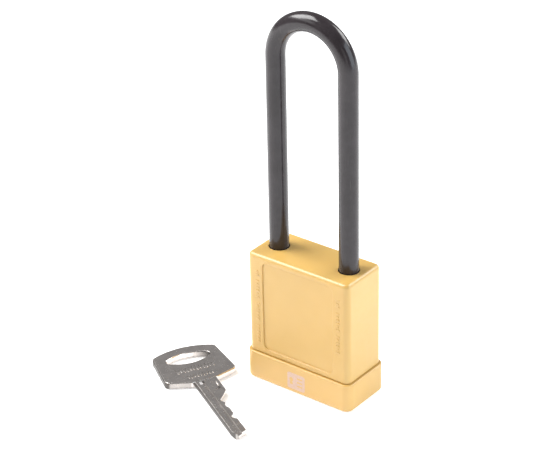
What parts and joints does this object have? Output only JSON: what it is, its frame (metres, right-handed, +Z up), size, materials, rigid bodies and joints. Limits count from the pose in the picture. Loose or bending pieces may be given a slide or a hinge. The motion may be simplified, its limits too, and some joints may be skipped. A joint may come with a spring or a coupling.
{
  "type": "safety padlock",
  "caption": "Long-shackle lockout padlock with a plastic cover over a narrow metal body, a coated shackle and a flat key.",
  "frame": {"origin": "centre of the keyway on the underside of the base cap", "axes": "+Z up along the shackle, +X to the right across the body's width, -Y to the front face"},
  "size_m": [0.0708, 0.0529, 0.1308],
  "materials": {
    "cover_plastic": "satin",
    "cap_plastic": "satin",
    "coating": "semi-gloss",
    "steel": "brushed",
    "spring_steel": "drawn wire",
    "block": "machined",
    "brass": "machined",
    "key_nickel": "nickel plated"
  },
  "bodies": {
    "body": {"cover_sleeve": "cover_plastic", "base_cap": "cap_plastic", "base_pins": "steel", "lock_body": "block", "cylinder_barrel": "brass", "barrel_pin": "steel", "shackle_stop_pin": "steel", "shackle_spring": "spring_steel", "ball_bore_plug": "block", "chamber_plugs": "brass", "driver_pin_1": "brass", "driver_pin_2": "brass", "driver_pin_3": "brass", "driver_pin_4": "brass", "driver_pin_5": "brass", "pin_spring_1": "spring_steel", "pin_spring_2": "spring_steel", "pin_spring_3": "spring_steel", "pin_spring_4": "spring_steel", "pin_spring_5": "spring_steel"},
    "shackle": {"shackle_core": "steel", "shackle_coating": "coating"},
    "plug": {"plug": "brass", "plug_clip": "spring_steel", "tailpiece": "steel", "key_pin_1": "brass", "key_pin_2": "brass", "key_pin_3": "brass", "key_pin_4": "brass", "key_pin_5": "brass"},
    "driver": {"driver": "steel"},
    "ball_heel": {"ball_heel": "steel"},
    "ball_toe": {"ball_toe": "steel"},
    "key": {"key": "key_nickel"}
  },
  "joints": [
    {"name": "shackle_lift", "type": "slide", "parent": "body", "child": "shackle", "axis": [0, 0, 1], "range_m": [0, 0.0136], "deforming": ["shackle_spring"]},
    {"name": "plug_turn", "type": "hinge", "parent": "body", "child": "plug", "pos_m": [0, 0, 0.015], "axis": [0, 0, 1], "range_deg": [0, 90.1]},
    {"name": "driver_turn", "type": "hinge", "parent": "body", "child": "driver", "pos_m": [0, 0, 0.04], "axis": [0, 0, 1], "range_deg": [0, 90.1]},
    {"name": "ball_heel_slide", "type": "slide", "parent": "body", "child": "ball_heel", "axis": [1, 0, 0], "range_m": [0, 0.00272]},
    {"name": "ball_toe_slide", "type": "slide", "parent": "body", "child": "ball_toe", "axis": [-1, 0, 0], "range_m": [0, 0.00272]},
    {"name": "key_lift", "type": "slide", "parent": "body", "child": "key", "axis": [0, 0, 1], "range_m": [0, 0.05]}
  ],
  "couplings": [
    {"joint": "plug_turn", "follows": "shackle_lift", "rad_per_m": 115.5},
    {"joint": "driver_turn", "follows": "shackle_lift", "rad_per_m": 115.5},
    {"joint": "ball_heel_slide", "follows": "shackle_lift", "ratio": 0.2},
    {"joint": "ball_toe_slide", "follows": "shackle_lift", "ratio": 0.2}
  ]
}
